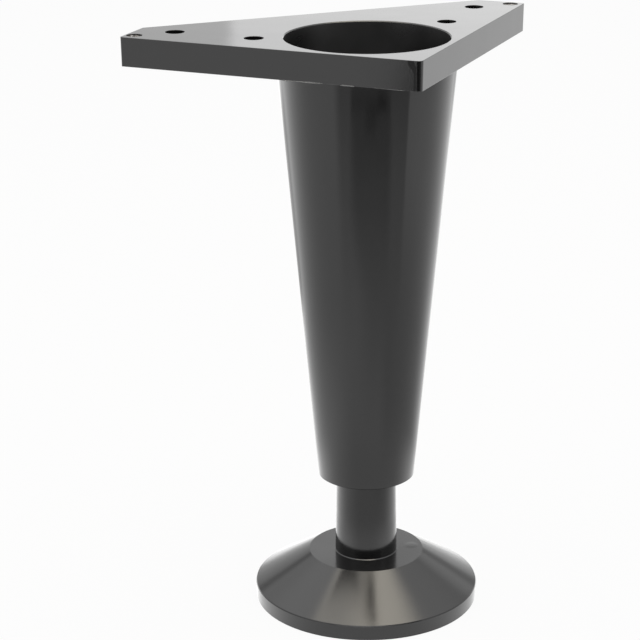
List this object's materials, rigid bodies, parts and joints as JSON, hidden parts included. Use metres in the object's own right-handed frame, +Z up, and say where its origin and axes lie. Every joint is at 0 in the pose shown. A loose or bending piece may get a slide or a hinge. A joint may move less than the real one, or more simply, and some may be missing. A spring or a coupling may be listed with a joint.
{
  "type": "furniture leg",
  "caption": "Conical hollow plastic furniture leg with a right-angled corner plate and a screw-adjusted disc foot.",
  "frame": {"origin": "on the floor, on the axis of the tube and foot, with the foot set as modelled", "axes": "+Z up along the leg's axis, the plate's right-angle corner towards -Y, the plate's long edge along X on the +Y side"},
  "size_m": [0.1486, 0.0859, 0.2],
  "materials": {
    "black_plastic": "gloss",
    "zinc_steel": "satin"
  },
  "bodies": {
    "leg": {"leg_body": "black_plastic", "captive_nut": "zinc_steel"},
    "stud": {"threaded_stud": "zinc_steel"},
    "foot": {"adjusting_foot": "black_plastic"}
  },
  "joints": [
    {"name": "height_adjust", "type": "slide", "parent": "leg", "child": "stud", "axis": [0, 0, 1], "range_m": [-0.005, 0.025]},
    {"name": "foot_turn", "type": "hinge", "parent": "stud", "child": "foot", "pos_m": [0, 0, 0], "axis": [0, 0, 1], "range_deg": [-1200, 6000]}
  ],
  "couplings": [
    {"joint": "height_adjust", "follows": "foot_turn", "m_per_rad": 0.00023873}
  ]
}
